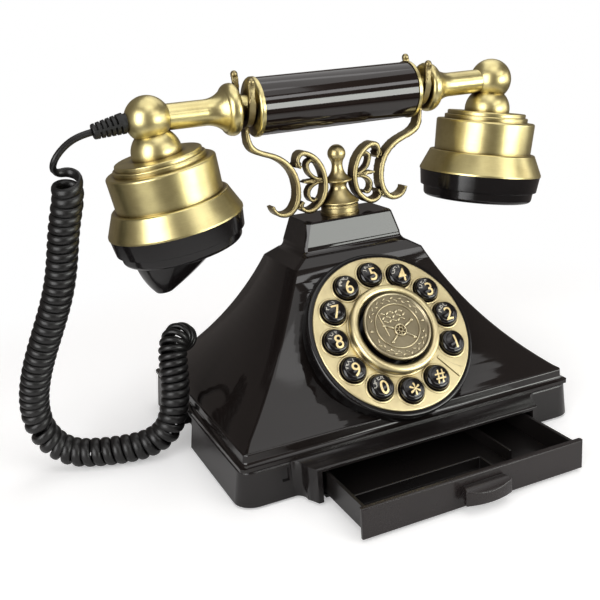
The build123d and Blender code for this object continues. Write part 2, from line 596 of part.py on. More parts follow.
def cup_cap_outline(end):
    c, r = CONE_END, SHELL_RIM_R
    return ((r - 5.4, c - 3.0), (r - 5.4, c), (r - 0.3, c), (r - 1.3, c + 8.0), (r - 2.2, c + 8.4), (r - 2.9, c + 8.4),
            (r - 3.3, end - 1.6), ((r - 3.9, end - 0.5), (r - 5.2, end)))


def receiver_cap():
    end = CAP_END
    cap = lathe(*cup_cap_outline(end), (8, end), ((3, end - 0.9), (0, end - 1.0)), (0, end - 2.6),
                (SHELL_RIM_R - 6.5, end - 2.6), (SHELL_RIM_R - 6.5, CONE_END - 3.0))
    for i in range(6):
        x, y = polar(5.0, 60 * i)
        cap -= Pos(x, y, end) * Cylinder(1.1, 10)
    cap -= Pos(0, 0, end) * Cylinder(1.1, 10)
    return cup_place(1) * cap


def transmitter_cap():
    end = CAP_END - 0.6
    cap = lathe(*cup_cap_outline(end), (9, end), (9, end - 2.2), (SHELL_RIM_R - 6.5, end - 2.2),
                (SHELL_RIM_R - 6.5, CONE_END - 3.0))
    return cup_place(-1) * cap


def mouth_horn():
    """Scoop under the mouthpiece: a tapering spout that is slanted towards the speaker's mouth."""
    end = CAP_END - 0.6
    stations = [(-2.6, 0.0, 21.0, 18.5), (-8.0, 8.2, 14.0, 12.5), (-13.6, 16.2, 4.4, 4.8)]
    outer = loft([Pos(x, 0, end + z) * Ellipse(a, b) for x, z, a, b in stations])
    inner = loft([Pos(x, 0, end + z - 0.1) * Ellipse(a - 1.8, b - 1.8) for x, z, a, b in stations])
    back_opening = box(-40, 40, -40, -2, end + 2.0, end + 30)
    return cup_place(-1) * (outer - inner - back_opening)


def microphone_capsule():
    z = CONE_END - 6
    return cup_place(-1) * Pos(0, 0, z) * lathe((0, 0), (13, 0), (13, 6), (15, 6), (15, 8), (0, 8))


def receiver_capsule():
    z = CONE_END - 6
    return cup_place(1) * Pos(0, 0, z) * lathe((0, 0), (14, 0), (14, 5), (22, 8), (22, 10), (0, 10))


# ------------------------------------------------------------------ cord
RELIEF_START = (-BALL_X - BALL_R + 0.35, 0, AXIS_Z - 0.4)
RELIEF_END = (-115.3, 0, 159.0)
JACK_PLUG_X = -PLINTH_FOOT[0] + 2.2
COIL_ROUTE = [(-129.2, 0, 141.6), (-129.2, 0, 134.2), (-131.4, 0.8, 126.4), (-133.8, 1.6, 117.0),
              (-135.6, 2.6, 107.0), (-137.8, 4.0, 96.6), (-141.0, 5.6, 86.2), (-145.4, 7.6, 75.2),
              (-150.2, 10.0, 63.6), (-154.2, 12.4, 52.4), (-156.8, 14.6, 41.6), (-157.4, 16.4, 31.0),
              (-155.6, 17.4, 21.4), (-150.6, 17.0, 12.8), (-142.6, 13.4, 7.9), (-132.0, 8.4, 7.5),
              (-121.0, 4.6, 7.6), (-109.6, 2.6, 8.6), (-101.2, 2.2, 13.2), (-97.0, 2.4, 21.4),
              (-95.4, 2.4, 31.8), (-94.6, 2.2, 43.0), (-93.4, 2.4, 53.6), (-89.6, 3.4, 62.4)]
UPPER_ROUTE = [RELIEF_END, (-120.5, 0, 158.17), (-126.2, 0, 155.7), (-131.0, 0, 151.8), (-134.3, 0, 147.2),
               (-134.3, 0, 141.6)]
LOWER_ROUTE = [(-84.8, 5.8, 64.9), (-81.6, 8.0, 66.2), (-78.4, 11.2, 64.8), (-76.6, 14.6, 59.8), (-77.4, 17.6, 52.4),
               (-80.6, 19.8, 43.4), (-85.4, 21.2, 34.2), (-90.2, 22.0, 26.0), (-93.6, 22.2, 18.6), (-94.0, 22.1, 12.6),
               (-91.2, 22.0, JACK_Z), (JACK_PLUG_X, 22.0, JACK_Z)]


def route_radii(points):
    """The largest arc that each corner's two runs allow."""
    radii = []
    for before, here, after in zip(points, points[1:], points[2:]):
        run_in = Vector(here) - Vector(before)
        run_out = Vector(after) - Vector(here)
        half_turn = math.radians(run_in.get_angle(run_out)) / 2
        radii.append(0.45 * min(run_in.length, run_out.length) / math.tan(half_turn))
    return radii


def tube(name, points, diameter):
    """Round tube along straight runs joined by tangent arcs; prints its radii and volume test."""
    radii = route_radii(points)
    path = FilletPolyline(*points, radius=radii)
    start = Plane(origin=path @ 0, z_dir=path % 0)
    solid = sweep(start * Circle(diameter / 2), path=path)
    ratio = solid.volume / (math.pi * diameter ** 2 / 4 * path.length)
    print(f"{name}: length {path.length:.1f}, radii {[round(r, 1) for r in radii]}, volume ratio {ratio:.4f}")
    return solid


RELIEF_SLOTS, RELIEF_PITCH, RELIEF_SLOT, RELIEF_CORE = 5, 2.25, 0.9, 2.3


def strain_relief():
    """Tapered sleeve pushed into the ball, slotted above and below by turns so that it bends with the cord."""
    start, end = Vector(RELIEF_START), Vector(RELIEF_END)
    reach = (end - start).length
    relief = lathe((0, -4.0), (4.0, -4.0), (4.0, 0.6), (4.6, 0.6), (4.6, 1.4), (3.4, reach - 0.4), (3.1, reach),
                   (0, reach))
    for i in range(RELIEF_SLOTS):
        for side, late in ((1, 0.0), (-1, 0.5)):
            low = 2.2 + RELIEF_PITCH * (i + late)
            near, far = sorted((side * 0.5, side * 6.0))
            slot = box(-6, 6, near, far, low, low + RELIEF_SLOT) - Pos(0, 0, low) * Cylinder(RELIEF_CORE, 4)
            relief -= slot
    return Plane(origin=start, x_dir=(0, 1, 0), z_dir=end - start) * relief


def cord_plug():
    """Modular plug seated in the handset jack, with its release latch."""
    x = JACK_PLUG_X
    plug = box(x, x + 12.5, JACK_Y - 3.85, JACK_Y + 3.85, JACK_Z - 3.2, JACK_Z + 3.2)
    return plug + box(x, x + 4.8, JACK_Y - 1.5, JACK_Y + 1.5, JACK_Z + 3.2, JACK_Z + 4.2)


# ------------------------------------------------------------------ assembly
KEY_NAMES = ["1", "2", "3", "4", "5", "6", "7", "8", "9", "0", "star", "hash"]


def build_nodes():
    nodes = {
        "upper_housing": upper_housing(), "plinth": plinth(), "bottom_plate": bottom_plate(),
        "chassis_deck": chassis_deck(), "rubber_feet": rubber_feet(), "base_screws": base_screws(),
        "dial_housing": dial_housing(), "dial_plate": dial_plate(), "dial_medallion": dial_medallion(),
        "medallion_seat": medallion_seat(), "finger_stop": finger_stop(), "keypad_mat": keypad_mat(),
        "keypad_board": keypad_board(), "main_board": main_board(), "ringer_buzzer": ringer_buzzer(),
        "hook_guide": hook_guide(), "cradle_collar": cradle_collar(), "handset_jack": handset_jack(),
        "line_jack": line_jack(), "ringer_switch_body": ringer_switch_body(),
        "ringer_switch_knob": ringer_switch_knob(), "drawer_tray": drawer_tray(),
        "drawer_front": drawer_front(), "drawer_pull": drawer_pull(), "cradle_column": cradle_column(),
        "cradle_finial": cradle_finial(), "cradle_arm_left": cradle_arm(-1), "cradle_arm_right": cradle_arm(1),
        "hook_plunger": hook_plunger(), "hook_spring": hook_spring(), "grip_sleeve": grip_sleeve(),
        "grip_caps": both_ends(grip_cap), "handset_arms": both_ends(handset_arm),
        "ball_elbows": both_ends(ball_elbow), "cup_necks": both_ends(cup_neck),
        "transmitter_shell": cup_shell(-1), "receiver_shell": cup_shell(1),
        "transmitter_cap": transmitter_cap(), "receiver_cap": receiver_cap(), "mouth_horn": mouth_horn(),
        "microphone_capsule": microphone_capsule(), "receiver_capsule": receiver_capsule(),
        "strain_relief": strain_relief(), "cord_upper": tube("cord_upper", UPPER_ROUTE, WIRE_D),
        "cord_coil": tube("cord_coil", COIL_ROUTE, COIL_D), "cord_lower": tube("cord_lower", LOWER_ROUTE, WIRE_D),
        "cord_plug": cord_plug(),
    }
    for index, name in enumerate(KEY_NAMES):
        nodes["key_" + name] = key(index)
    return nodes


CORD_NODES = ("strain_relief", "cord_upper", "cord_coil", "cord_lower", "cord_plug")


def main():
    nodes = build_nodes()
    own = [shape.bounding_box() for name, shape in nodes.items() if name not in CORD_NODES]
    front, back = min(b.min.Y for b in own), max(b.max.Y for b in own)
    shift = -(front + back) / 2
    print(f"origin is {-shift:.3f} mm behind the middle of the base; x {min(b.min.X for b in own):.3f} "
          f"to {max(b.max.X for b in own):.3f}")
    os.makedirs("parts", exist_ok=True)
    for name, shape in nodes.items():
        export_step(Pos(0, shift, 0) * shape, f"parts/{name}.step")


main()
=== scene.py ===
import math

import bmesh
import bpy
from mathutils import Matrix, Vector


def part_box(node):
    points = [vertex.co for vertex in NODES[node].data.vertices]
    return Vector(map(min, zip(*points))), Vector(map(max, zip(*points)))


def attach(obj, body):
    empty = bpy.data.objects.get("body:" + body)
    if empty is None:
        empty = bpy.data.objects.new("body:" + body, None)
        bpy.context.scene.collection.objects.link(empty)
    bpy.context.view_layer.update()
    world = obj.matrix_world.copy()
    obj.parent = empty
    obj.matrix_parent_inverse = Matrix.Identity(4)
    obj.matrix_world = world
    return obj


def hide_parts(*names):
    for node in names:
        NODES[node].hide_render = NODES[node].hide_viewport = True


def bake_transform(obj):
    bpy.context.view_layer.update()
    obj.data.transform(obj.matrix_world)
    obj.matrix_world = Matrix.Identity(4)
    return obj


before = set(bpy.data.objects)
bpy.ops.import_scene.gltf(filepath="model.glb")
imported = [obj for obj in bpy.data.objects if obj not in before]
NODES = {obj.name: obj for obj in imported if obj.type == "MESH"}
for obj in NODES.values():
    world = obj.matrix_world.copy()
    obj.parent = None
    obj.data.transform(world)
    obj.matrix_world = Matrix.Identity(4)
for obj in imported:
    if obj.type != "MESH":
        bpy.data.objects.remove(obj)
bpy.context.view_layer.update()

# ------------------------------------------------------------------ places read from the frame
PLINTH_HALF_DEPTH = 0.0688
BASE_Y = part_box("plinth")[1].y - PLINTH_HALF_DEPTH      # the middle of the base, front to back

DIAL_ELEVATION = math.radians(39.5)
DIAL_OUT = Vector((0, -math.cos(DIAL_ELEVATION), math.sin(DIAL_ELEVATION)))
DIAL_UP = Vector((0, math.sin(DIAL_ELEVATION), math.cos(DIAL_ELEVATION)))
DIAL_THICK = 0.0016
PLATE_LOW, PLATE_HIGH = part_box("dial_plate")
DIAL_R = (PLATE_HIGH.x - PLATE_LOW.x) / 2
DIAL_CENTRE = Vector((
    0.0,
    PLATE_HIGH.y - DIAL_R * DIAL_UP.y + DIAL_THICK * DIAL_OUT.y,
    PLATE_LOW.z + DIAL_R * DIAL_UP.z + DIAL_THICK * DIAL_OUT.z,
))
DIAL_FRAME = Matrix.Translation(DIAL_CENTRE) @ Matrix((
    (1, DIAL_UP.x, DIAL_OUT.x),
    (0, DIAL_UP.y, DIAL_OUT.y),
    (0, DIAL_UP.z, DIAL_OUT.z),
)).to_4x4()

KEY_NAMES = ["1", "2", "3", "4", "5", "6", "7", "8", "9", "0", "star", "hash"]
KEY_RING_R = 0.02945
KEY_FIRST = math.radians(-24.8)
KEY_STEP = math.radians(29.04)
KEY_TOP = 0.0041

BALL_R = 0.0104
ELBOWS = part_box("ball_elbows")
AXIS_Z = (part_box("grip_sleeve")[0].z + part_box("grip_sleeve")[1].z) / 2
BALL_X = ELBOWS[1].x - BALL_R
CUP_TILT = math.radians(9.0)


def spot(x, y, z):
    """Point given about the base's middle on the table, in the row frame."""
    return Vector((x, y + BASE_Y, z))


# ------------------------------------------------------------------ camera
CAMERA_LENS = 52.384                                    # for a 36 mm wide sensor
CAMERA_PLACE = (-0.188447, -0.381242, 0.198112)
CAMERA_YAW, CAMERA_PITCH, CAMERA_ROLL = 23.199, 17.747, -4.395      # degrees; pitch looks down


def make_camera():
    """The photo's view."""
    yaw, pitch, roll = math.radians(CAMERA_YAW), math.radians(CAMERA_PITCH), math.radians(CAMERA_ROLL)
    forward = Vector((math.sin(yaw) * math.cos(pitch), math.cos(yaw) * math.cos(pitch), -math.sin(pitch)))
    level = Vector((math.cos(yaw), -math.sin(yaw), 0))
    above = level.cross(forward)
    right = level * math.cos(roll) + above * math.sin(roll)
    up = above * math.cos(roll) - level * math.sin(roll)
    data = bpy.data.cameras.new("camera")
    data.lens = CAMERA_LENS
    data.sensor_width = 36
    data.clip_start, data.clip_end = 0.02, 20
    camera = bpy.data.objects.new("camera", data)
    turn = Matrix((right, up, -forward)).transposed().to_4x4()
    camera.matrix_world = Matrix.Translation(spot(*CAMERA_PLACE)) @ turn
    bpy.context.scene.collection.objects.link(camera)
    bpy.context.scene.camera = camera


# ------------------------------------------------------------------ mesh helpers
def link(obj, body, material=None, smooth=True):
    """Put a finished piece in the scene, riding on a body."""
    bpy.context.scene.collection.objects.link(obj)
    if material:
        obj.data.materials.clear()
        obj.data.materials.append(material)
    if smooth and obj.type == "MESH":
        obj.data.shade_smooth()
    if body:
        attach(obj, body)
    return obj


def mesh_object(name, verts, faces):
    """An object with a mesh of these corners and faces."""
    mesh = bpy.data.meshes.new(name)
    mesh.from_pydata([tuple(v) for v in verts], [], faces)
    mesh.update()
    return bpy.data.objects.new(name, mesh)


def ring_faces(rings, around, closed_ends=False):
    """Quads between rings of points laid out one after another."""
    faces = []
    for i in range(rings - 1):
        for j in range(around):
            k = (j + 1) % around
            faces.append((i * around + j, i * around + k, (i + 1) * around + k, (i + 1) * around + j))
    if closed_ends:
        faces.append(tuple(range(around))[::-1])
        faces.append(tuple((rings - 1) * around + j for j in range(around)))
    return faces


def turned(profile, around, place):
    """Vertices and faces of a closed ring turned about Z from a closed (radius, height) outline."""
    verts = []
    for r, z in profile:
        for j in range(around):
            a = 2 * math.pi * j / around
            verts.append(place @ Vector((r * math.cos(a), r * math.sin(a), z)))
    faces = ring_faces(len(profile), around)
    last = (len(profile) - 1) * around
    for j in range(around):
        k = (j + 1) % around
        faces.append((last + j, last + k, k, j))
    return verts, faces


class Collector:
    """Gathers several small shapes into one mesh."""

    def __init__(self):
        self.verts = []
        self.faces = []

    def add(self, verts, faces):
        base = len(self.verts)
        self.verts += [Vector(v) for v in verts]
        self.faces += [tuple(base + i for i in face) for face in faces]

    def object(self, name):
        obj = mesh_object(name, self.verts, self.faces)
        tidy_normals(obj)
        return obj


def tidy_normals(obj):
    """Turns all faces outwards."""
    mesh = bmesh.new()
    mesh.from_mesh(obj.data)
    bmesh.ops.recalc_face_normals(mesh, faces=mesh.faces)
    mesh.to_mesh(obj.data)
    mesh.free()


# ------------------------------------------------------------------ cord
CORD_WIDE, CORD_THICK = 0.0047, 0.0027     # the flat wire in the coil's wide turns
WIRE_END = 0.0030                          # its width in the straight leads and in close turns
WIDEN_STEPS = 16                           # steps over which the wire widens at the coil's ends
COIL_R = 0.0057                            # from the coil's middle to the wire's middle
TURN_STEP = 0.00085                        # one step along the wire
LEAN_SHARE = 0.55                          # how far a turn's near side leads, as a share of its radius
FIRST_TURN = 0.9                           # the first half turn starts at this share of the radius
BEND_REACH = 1.5                           # how straight an eased bend leaves and arrives
UPPER_ROUTE = [(-0.1153, 0, 0.159), (-0.1205, 0, 0.15817), (-0.1262, 0, 0.1557), (-0.131, 0, 0.1518),
               (-0.1343, 0, 0.1472), (-0.1343, 0, 0.1416)]
COIL_ROUTE = [(-0.1292, 0, 0.1416), (-0.1292, 0, 0.1342), (-0.1314, 0.0008, 0.1264),
              (-0.1338, 0.0016, 0.117), (-0.1356, 0.0026, 0.107), (-0.1378, 0.004, 0.0966),
              (-0.141, 0.0056, 0.0862),
              (-0.1454, 0.0076, 0.0752), (-0.1502, 0.01, 0.0636), (-0.1542, 0.0124, 0.0524),
              (-0.1568, 0.0146, 0.0416), (-0.1574, 0.0164, 0.031), (-0.1556, 0.0174, 0.0214),
              (-0.1506, 0.017, 0.0128), (-0.1426, 0.0134, 0.0079), (-0.132, 0.0084, 0.0075),
              (-0.121, 0.0046, 0.0076), (-0.1096, 0.0016, 0.0086), (-0.1006, -0.0002, 0.0132),
              (-0.0966, -0.0016, 0.0214), (-0.0944, -0.0022, 0.0318), (-0.0936, -0.002, 0.0400),
              (-0.0932, -0.0008, 0.0480), (-0.0922, 0.0012, 0.0544), (-0.0892, 0.0040, 0.0582),
              (-0.0858, 0.0066, 0.0580), (-0.0838, 0.0090, 0.0546)]
LOWER_ROUTE = [(-0.0850, 0.0138, 0.0530), (-0.0836, 0.0164, 0.0512), (-0.0824, 0.0186, 0.0476),
               (-0.0834, 0.0202, 0.0420), (-0.0862, 0.0214, 0.0342), (-0.0904, 0.022, 0.026),
               (-0.0936, 0.0222, 0.0186), (-0.094, 0.0221, 0.0126), (-0.0912, 0.022, 0.0092),
               (-0.0869, 0.022, 0.0092)]


def nurbs_points(route, resolution=12):
    """Points along the smooth NURBS line of a route."""
    curve = bpy.data.curves.new("route", "CURVE")
    curve.dimensions = "3D"
    spline = curve.splines.new("NURBS")
    spline.points.add(len(route) - 1)
    for point, place in zip(spline.points, route):
        point.co = (*spot(*place), 1)
    spline.order_u = 3
    spline.use_endpoint_u = True
    spline.resolution_u = resolution
    holder = bpy.data.objects.new("route", curve)
    mesh = bpy.data.meshes.new_from_object(holder)
    points = [v.co.copy() for v in mesh.vertices]
    bpy.data.meshes.remove(mesh)
    bpy.data.objects.remove(holder)
    bpy.data.curves.remove(curve)
    return points


def lengths_along(points):
    """How far along a line each of its points lies."""
    along = [0.0]
    for a, b in zip(points, points[1:]):
        along.append(along[-1] + (b - a).length)
    return along


def at_length(points, along, s):
    """Point and direction at a length along a line."""
    s = min(max(s, 0.0), along[-1])
    i = 0
    while i < len(along) - 2 and along[i + 1] < s:
        i += 1
    span = max(along[i + 1] - along[i], 1e-9)
    t = (s - along[i]) / span
    return points[i].lerp(points[i + 1], t), (points[i + 1] - points[i]).normalized()


def table_value(table, u):
    """Smooth value from a table of (place, value)."""
    if u <= table[0][0]:
        return table[0][1]
    for (u0, v0), (u1, v1) in zip(table, table[1:]):
        if u <= u1:
            t = (u - u0) / (u1 - u0)
            t = t * t * (3 - 2 * t)
            return v0 + (v1 - v0) * t
    return table[-1][1]


# Each pair is a share of the coil's length and the value that holds there.
TURN_PITCH = [(0.0, 0.0052), (0.02, 0.0046), (0.10, 0.0040), (0.44, 0.0038), (0.475, 0.0044),
              (0.495, 0.0072), (0.515, 0.0052), (0.56, 0.0050), (0.74, 0.0048), (0.84, 0.0042),
              (0.90, 0.0034), (1.0, 0.0022)]
TURN_LEAN = [(0.0, 0.95), (0.03, 0.65), (0.10, 0.42), (0.40, 0.36), (0.50, 0.15), (0.60, 0.0), (0.74, 0.0),
             (0.82, 0.22), (1.0, 0.1)]


def coil_points():
    """The curly cord's helix round its route: turns of uneven pitch, their near side leading."""
    route = nurbs_points(COIL_ROUTE)
    along = lengths_along(route)
    total = along[-1]
    near = Vector((-0.35, -0.94, 0.0)).normalized()
    _, ahead = at_length(route, along, 0.0)
    side = Vector((-1, 0, 0))
    side = (side - ahead * side.dot(ahead)).normalized()
    points, outward, pitches = [], [], []
    s = 0.0
    phase = 0.0
    while s < total:
        place, now = at_length(route, along, s)
        side = (side - now * side.dot(now)).normalized()
        cross = now.cross(side)
        u = s / total
        grow = FIRST_TURN + (1 - FIRST_TURN) * min(1.0, phase / math.pi)
        spoke = side * math.cos(phase) + cross * math.sin(phase)
        lean = table_value(TURN_LEAN, u) * spoke.dot(near)
        points.append(place + (spoke + now * lean * LEAN_SHARE) * COIL_R * grow)
        outward.append(spoke.copy())
        pitches.append(table_value(TURN_PITCH, u))
        turn = TURN_STEP / COIL_R
        s += pitches[-1] * turn / (2 * math.pi)
        phase += turn
    return points, outward, pitches


def smooth_line(points, rounds):
    """Evens out a line's corners, ends kept."""
    for _ in range(rounds):
        middle = [(a + b * 2 + c) / 4 for a, b, c in zip(points, points[1:], points[2:])]
        points = [points[0]] + middle + [points[-1]]
    return points


def flat_tube(points, outward, wide, thick, around=12):
    """Tube of oval section: wide across the outward direction and the line, thick along outward."""
    verts = []
    for i, place in enumerate(points):
        ahead = (points[min(i + 1, len(points) - 1)] - points[max(i - 1, 0)]).normalized()
        out = (outward[i] - ahead * outward[i].dot(ahead)).normalized()
        wing = ahead.cross(out)
        for j in range(around):
            a = 2 * math.pi * j / around
            verts.append(place + out * (math.cos(a) * thick / 2) + wing * (math.sin(a) * wide[i] / 2))
    return verts, ring_faces(len(points), around, closed_ends=True)


def even(vectors, rounds):
    """Evens out unit vectors along a line."""
    for _ in range(rounds):
        middle = [(a + b * 2 + c).normalized() for a, b, c in zip(vectors, vectors[1:], vectors[2:])]
        vectors = [vectors[0]] + middle + [vectors[-1]]
    return vectors


def ease(line, first, last):
    """Puts one smooth bend between two places on a line; it leaves and arrives along the line."""
    start, end = line[first], line[last]
    reach = (end - start).length * BEND_REACH
    leave = (start - line[first - 1]).normalized() * reach
    arrive = (line[last + 1] - end).normalized() * reach
    bend = []
    for i in range(first, last + 1):
        t = (i - first) / (last - first)
        bend.append(start * (2 * t ** 3 - 3 * t ** 2 + 1) + leave * (t ** 3 - 2 * t ** 2 + t)
                    + end * (3 * t ** 2 - 2 * t ** 3) + arrive * (t ** 3 - t ** 2))
    return line[:first] + bend + line[last + 1:]


def make_cord(material):
    """The whole handset cord, one wire from the strain relief to the plug."""
    upper = nurbs_points(UPPER_ROUTE)
    turns, spokes, pitches = coil_points()
    lower = nurbs_points(LOWER_ROUTE)
    line = smooth_line(upper[:-1] + turns + lower[1:], 3)
    start, end = len(upper) - 1, len(upper) - 1 + len(turns)
    line = ease(line, start - 20, start + 10)           # from the upper lead into the coil
    line = ease(line, end - 12, end + 26)               # from the coil into the lower lead
    outward = even([Vector((0, -1, 0))] * start + spokes + [spokes[-1]] * (len(lower) - 1), 3)
    wide = []
    for i in range(len(line)):
        inside = min(1.0, max(0.0, min(i - start, end - i) / WIDEN_STEPS))
        pitch = pitches[min(max(i - start, 0), len(pitches) - 1)]
        wide.append(WIRE_END + (min(CORD_WIDE, max(pitch, WIRE_END)) - WIRE_END) * inside)
    verts, faces = flat_tube(line, outward, wide, CORD_THICK)
    cord = mesh_object("handset_cord", verts, faces)
    tidy_normals(cord)
    cord.data.materials.append(material)
    cord.data.shade_smooth()
    bpy.context.scene.collection.objects.link(cord)
    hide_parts("cord_upper", "cord_coil", "cord_lower")
    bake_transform(cord)


# ------------------------------------------------------------------ shaders
class Shader:
    """A Principled material with short calls for adding nodes."""

    def __init__(self, name, **sockets):
        self.material = bpy.data.materials.new(name)
        self.material.use_nodes = True
        self.tree = self.material.node_tree
        self.bsdf = self.tree.nodes["Principled BSDF"]
        for socket, value in sockets.items():
            self.bsdf.inputs[socket.replace("_", " ")].default_value = value

    def node(self, kind, inputs=None, **settings):
        made = self.tree.nodes.new(kind)
        for name, value in settings.items():
            setattr(made, name, value)
        for name, value in (inputs or {}).items():
            if isinstance(value, bpy.types.NodeSocket):
                self.tree.links.new(value, made.inputs[name])
            else:
                made.inputs[name].default_value = value
        return made

    def math(self, operation, a, b=0.5):
        return self.node("ShaderNodeMath", {0: a, 1: b}, operation=operation).outputs[0]

    def mix(self, factor, a, b, blend="MIX"):
        made = self.node("ShaderNodeMix", data_type="RGBA", blend_type=blend)
        for index, value in ((0, factor), (6, a), (7, b)):
            if isinstance(value, bpy.types.NodeSocket):
                self.tree.links.new(value, made.inputs[index])
            else:
                made.inputs[index].default_value = value if index == 0 else (*value, 1)
        return made.outputs[2]

    def ramp(self, factor, *stops):
        """Colour ramp from (place, colour) stops; a number stands for a grey."""
        made = self.node("ShaderNodeValToRGB", {"Fac": factor})
        elements = made.color_ramp.elements
        while len(elements) < len(stops):
            elements.new(0.5)
        for element, (place, colour) in zip(elements, stops):
            element.position = place
            if isinstance(colour, (int, float)):
                colour = (colour, colour, colour)
            element.color = (*colour, 1)
        return made.outputs[0]

    def noise(self, vector, scale, detail=3.0, roughness=0.5):
        made = self.node("ShaderNodeTexNoise", {"Vector": vector, "Scale": scale, "Detail": detail,
                                                "Roughness": roughness})
        return made.outputs["Fac"]

    def place(self):
        return self.node("ShaderNodeTexCoord").outputs["Object"]

    def about(self, origin, turn):
        """Coordinates in a frame with its own origin and Euler turn."""
        sockets = {"Vector": self.place(), "Location": origin, "Rotation": turn}
        return self.node("ShaderNodeMapping", sockets, vector_type="TEXTURE").outputs[0]

    def bump(self, height, distance, strength=1.0):
        made = self.node("ShaderNodeBump", {"Height": height, "Distance": distance, "Strength": strength})
        self.tree.links.new(made.outputs[0], self.bsdf.inputs["Normal"])

    def to(self, socket, value):
        self.tree.links.new(value, self.bsdf.inputs[socket])


def radial(shader, local):
    """Distance from the Z axis, height and angle of local coordinates."""
    parts = shader.node("ShaderNodeSeparateXYZ", {0: local})
    x, y, z = parts.outputs
    squares = shader.math("ADD", shader.math("MULTIPLY", x, x), shader.math("MULTIPLY", y, y))
    r = shader.math("SQRT", squares)
    angle = shader.math("ARCTAN2", y, x)
    return r, z, angle


STREAKS_PER_M, STREAKS_AROUND = 5200.0, 5.0    # fineness of the brushing across and along its strokes
STREAK_SHARE = 0.22                            # how much of the tone the strokes make


def brass(name, origin=(0, 0, 0), turn=(0, 0, 0), light=(0.80, 0.70, 0.34), dark=(0.54, 0.44, 0.19),
          rough=0.31, brushed=1.0, recess=0.0038, aged=(0.16, 0.10, 0.055)):
    """Antique brass under a satin lacquer: brushed round an axis, brown patina in recesses."""
    shader = Shader(name, Metallic=1.0, Coat_Weight=0.12, Coat_Roughness=0.28, Coat_IOR=1.45)
    r, z, angle = radial(shader, shader.about(origin, turn))
    streak_place = shader.node("ShaderNodeCombineXYZ", {
        0: shader.math("MULTIPLY", r, STREAKS_PER_M), 1: shader.math("MULTIPLY", z, STREAKS_PER_M),
        2: shader.math("MULTIPLY", angle, STREAKS_AROUND)}).outputs[0]
    streaks = shader.noise(streak_place, 1.0, detail=3.0, roughness=0.6)
    patches = shader.noise(shader.place(), 60.0, detail=4.0, roughness=0.6)
    tone = shader.math("ADD", shader.math("MULTIPLY", patches, 1.0 - STREAK_SHARE * brushed),
                       shader.math("MULTIPLY", streaks, STREAK_SHARE * brushed))
    body = shader.ramp(tone, (0.25, dark), (0.60, light))
    hollow = shader.node("ShaderNodeAmbientOcclusion", {"Distance": recess}, samples=8).outputs["AO"]
    patina = shader.ramp(hollow, (0.36, aged), (0.88, (1.0, 1.0, 1.0)))
    shader.to("Base Color", shader.mix(1.0, body, patina, blend="MULTIPLY"))
    level = shader.math("ADD", shader.math("MULTIPLY", streaks, 0.04 * brushed + 0.02), rough - 0.05)
    shader.to("Roughness", shader.math("ADD", level, shader.math("MULTIPLY", patches, 0.05)))
    shader.bump(streaks, 0.00001, 0.08 * brushed + 0.02)
    return shader.material


def gloss_black(name, colour=(0.0042, 0.0031, 0.0028), rough=0.09, ior=1.5, waves=0.10):
    """Polished moulded plastic: deep brown-black with faint handling marks and a hint of waviness."""
    shader = Shader(name, IOR=ior)
    place = shader.place()
    marks = shader.noise(place, 35.0, detail=5.0, roughness=0.6)
    wave = shader.noise(place, 55.0, detail=1.0)
    shader.to("Base Color", shader.mix(marks, colour, tuple(c * 1.8 for c in colour)))
    shader.to("Roughness", shader.math("ADD", shader.math("MULTIPLY", marks, 0.10), rough - 0.05))
    shader.bump(wave, 0.0002, waves)
    return shader.material


def satin_plastic(name, colour, rough=0.36, depth=0.00004):
    """Moulded plastic with a fine grain."""
    shader = Shader(name, IOR=1.48)
    place = shader.place()
    fine = shader.noise(place, 900.0, detail=3.0, roughness=0.6)
    patches = shader.noise(place, 28.0, detail=4.0)
    shader.to("Base Color", shader.mix(patches, colour, tuple(min(1.0, c * 1.5) for c in colour)))
    level = shader.math("ADD", shader.math("MULTIPLY", patches, 0.10), rough - 0.05)
    shader.to("Roughness", shader.math("ADD", level, shader.math("MULTIPLY", fine, 0.05)))
    shader.bump(fine, depth, 0.35)
    return shader.material


def rubber(name, colour=(0.0045, 0.0042, 0.0042), rough=0.36):
    """Vinyl or rubber with a soft sheen and faint mottling."""
    shader = Shader(name, IOR=1.5)
    place = shader.place()
    fine = shader.noise(place, 1400.0, detail=2.0)
    patches = shader.noise(place, 90.0, detail=3.0)
    shader.to("Base Color", shader.mix(patches, colour, tuple(c * 1.8 for c in colour)))
    shader.to("Roughness", shader.math("ADD", shader.math("MULTIPLY", patches, 0.14), rough - 0.07))
    shader.bump(fine, 0.00003, 0.3)
    return shader.material


def steel(name):
    """Brushed bright steel."""
    shader = Shader(name, Metallic=1.0)
    fine = shader.noise(shader.place(), 500.0, detail=4.0)
    shader.to("Base Color", shader.mix(fine, (0.52, 0.51, 0.50), (0.70, 0.69, 0.67)))
    shader.to("Roughness", shader.math("ADD", shader.math("MULTIPLY", fine, 0.2), 0.2))
    return shader.material


def circuit(name):
    """Green board with darker tracks."""
    shader = Shader(name, IOR=1.5, Roughness=0.35)
    place = shader.place()
    tracks = shader.node("ShaderNodeTexVoronoi", {"Vector": place, "Scale": 260.0}, distance="MANHATTAN",
                         feature="F1").outputs["Distance"]
    lines = shader.ramp(tracks, (0.42, (0.02, 0.10, 0.035)), (0.5, (0.05, 0.20, 0.08)))
    shader.to("Base Color", lines)
    shader.bump(tracks, 0.0001, 0.4)
    return shader.material


def gilt(name, dark=(0.55, 0.40, 0.16), light=(0.90, 0.72, 0.38)):
    """Gold print on the keys, a little worn."""
    shader = Shader(name, Metallic=0.25, IOR=1.5)
    wear = shader.noise(shader.place(), 2400.0, detail=3.0)
    shader.to("Base Color", shader.ramp(wear, (0.25, dark), (0.6, light)))
    shader.to("Roughness", shader.math("ADD", shader.math("MULTIPLY", wear, 0.2), 0.28))
    return shader.material


